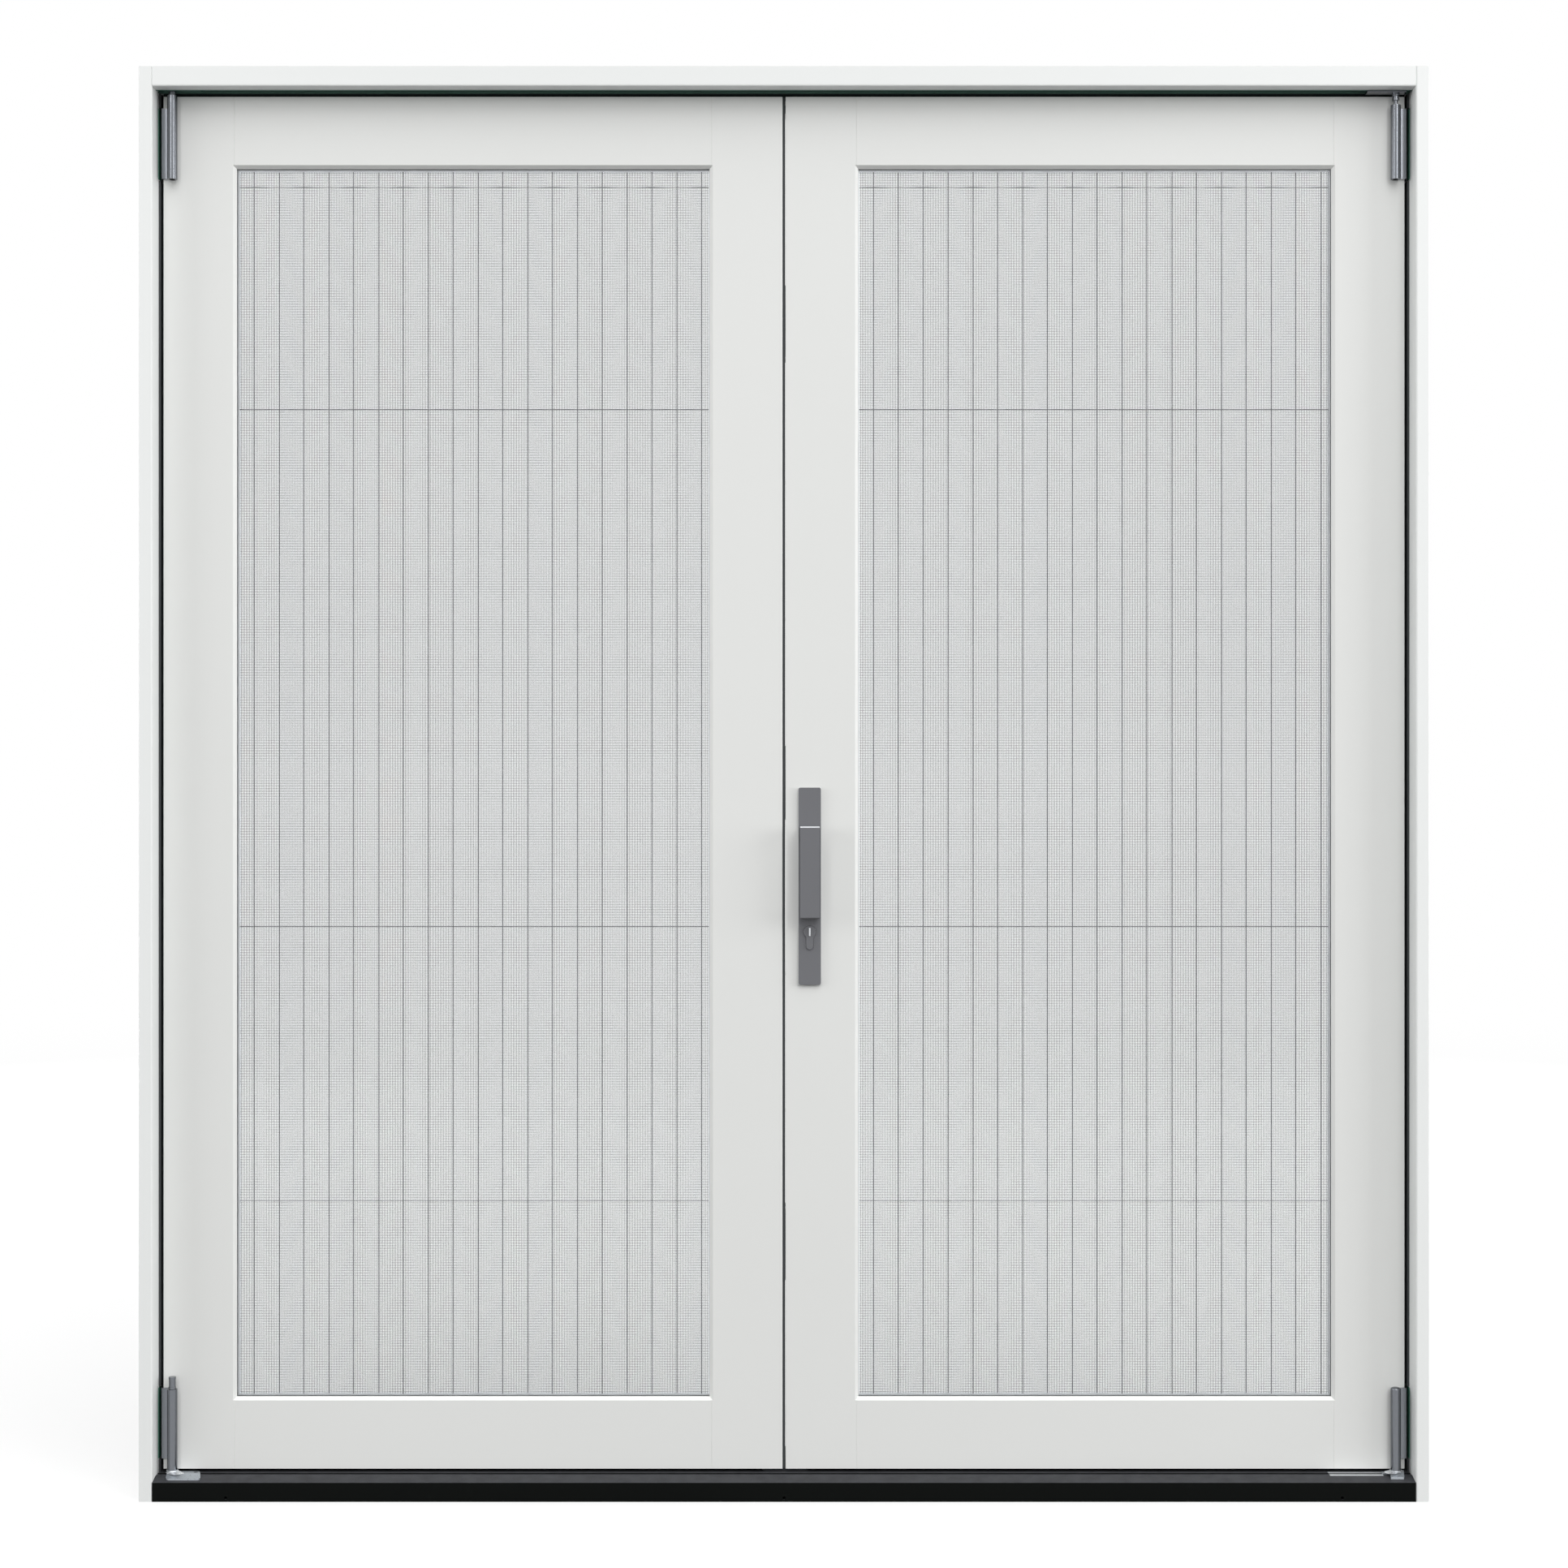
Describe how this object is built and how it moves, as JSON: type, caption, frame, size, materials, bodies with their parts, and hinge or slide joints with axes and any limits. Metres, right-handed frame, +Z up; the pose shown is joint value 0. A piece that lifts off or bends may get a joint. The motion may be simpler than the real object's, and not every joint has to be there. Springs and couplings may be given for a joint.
{
  "type": "folding door",
  "caption": "Glazed folding door in a white rebated frame with a low black threshold; its leaves fold outwards on pivot hinges, a top trolley and a bottom guide.",
  "frame": {"origin": "middle of the frame's underside", "axes": "+X along the opening to the right seen from outside, +Y from the outside to the inside, +Z up"},
  "size_m": [1.78, 0.115, 1.98],
  "materials": {
    "white_paint": "satin white paint",
    "black_sill": "matt black powder coat",
    "dark_track": "dark green-black anodised",
    "silver": "mill finish",
    "steel": "satin zinc",
    "seal": "black rubber",
    "green_packer": "dark green plastic",
    "glass": "clear",
    "mesh_wire": "bright wire",
    "spacer_bar": "satin",
    "handle_grey": "grey satin",
    "nylon": "natural nylon"
  },
  "bodies": {
    "frame": {"left_jamb": "white_paint", "right_jamb": "white_paint", "head": "white_paint", "sill": "black_sill", "sill_stop": "black_sill", "top_track": "dark_track", "track_inserts": "silver", "frame_seals": "seal", "hinge_packers": "green_packer", "floor_pivot": "steel", "head_pivot": "dark_track", "left_pivot_pins": "steel", "frame_stops": "white_paint", "bolt_keepers": "steel", "plate_screws": "steel"},
    "left_leaf": {"left_hinge_stile": "white_paint", "left_meeting_stile": "white_paint", "left_top_rail": "white_paint", "left_bottom_rail": "white_paint", "left_beads": "white_paint", "left_outer_pane": "glass", "left_inner_pane": "glass", "left_spacer": "spacer_bar", "left_mesh": "mesh_wire", "left_glazing_seals": "seal", "left_top_hinge": "steel", "left_bottom_hinge": "steel", "left_mid_hinges": "steel", "mid_hinge_pins": "steel", "meeting_seal": "seal"},
    "right_leaf": {"right_hinge_stile": "white_paint", "right_meeting_stile": "white_paint", "right_top_rail": "white_paint", "right_bottom_rail": "white_paint", "right_beads": "white_paint", "right_outer_pane": "glass", "right_inner_pane": "glass", "right_spacer": "spacer_bar", "right_mesh": "mesh_wire", "right_glazing_seals": "seal", "right_top_hinge": "steel", "right_bottom_hinge": "steel", "right_mid_hinges": "steel", "handle_plate": "handle_grey", "pull_grip": "handle_grey", "lock_cylinder": "handle_grey", "inner_plate": "handle_grey", "lock_case": "steel", "faceplate": "steel"},
    "key_plug": {"key_plug": "steel"},
    "inner_lever": {"inner_lever": "handle_grey"},
    "upper_bolt": {"upper_bolt": "steel"},
    "lower_bolt": {"lower_bolt": "steel"},
    "trolley": {"trolley": "steel", "trolley_pin": "steel"},
    "front_wheels": {"front_wheels": "nylon"},
    "rear_wheels": {"rear_wheels": "nylon"},
    "guide": {"guide_shoe": "silver", "guide_pin": "steel"},
    "guide_roller": {"guide_roller": "nylon"}
  },
  "joints": [
    {"name": "left_fold", "type": "hinge", "parent": "frame", "child": "left_leaf", "pos_m": [-0.8505, -0.028, 0], "axis": [0, 0, -1], "range_deg": [0, 85]},
    {"name": "mid_fold", "type": "hinge", "parent": "left_leaf", "child": "right_leaf", "pos_m": [0, 0.03, 0], "axis": [0, 0, 1], "range_deg": [0, 170]},
    {"name": "trolley_turn", "type": "hinge", "parent": "right_leaf", "child": "trolley", "pos_m": [0.8505, -0.028, 0], "axis": [0, 0, -1], "range_deg": [0, 85]},
    {"name": "guide_turn", "type": "hinge", "parent": "right_leaf", "child": "guide", "pos_m": [0.8505, -0.028, 0], "axis": [0, 0, -1], "range_deg": [0, 85]},
    {"name": "front_wheel_roll", "type": "hinge", "parent": "trolley", "child": "front_wheels", "pos_m": [0.818, -0.028, 1.96045], "axis": [0, 1, 0], "continuous": true},
    {"name": "rear_wheel_roll", "type": "hinge", "parent": "trolley", "child": "rear_wheels", "pos_m": [0.855, -0.028, 1.96045], "axis": [0, 1, 0], "continuous": true},
    {"name": "guide_roll", "type": "hinge", "parent": "guide", "child": "guide_roller", "pos_m": [0.8505, -0.028, 0], "axis": [0, 0, 1], "continuous": true},
    {"name": "key_turn", "type": "hinge", "parent": "right_leaf", "child": "key_plug", "pos_m": [0.0358, 0, 0.7842], "axis": [0, 1, 0], "range_deg": [-90, 90]},
    {"name": "lever_turn", "type": "hinge", "parent": "right_leaf", "child": "inner_lever", "pos_m": [0.0358, 0, 0.8992], "axis": [0, 1, 0], "range_deg": [0, 90]},
    {"name": "upper_bolt_throw", "type": "slide", "parent": "right_leaf", "child": "upper_bolt", "axis": [0, 0, 1], "range_m": [0, 0.02]},
    {"name": "lower_bolt_throw", "type": "slide", "parent": "right_leaf", "child": "lower_bolt", "axis": [0, 0, -1], "range_m": [0, 0.02]}
  ],
  "couplings": [
    {"joint": "mid_fold", "follows": "left_fold", "ratio": 2},
    {"joint": "trolley_turn", "follows": "left_fold", "ratio": 1},
    {"joint": "guide_turn", "follows": "left_fold", "ratio": 1},
    {"joint": "upper_bolt_throw", "follows": "lever_turn", "m_per_rad": 0.012732},
    {"joint": "lower_bolt_throw", "follows": "lever_turn", "m_per_rad": 0.012732}
  ]
}
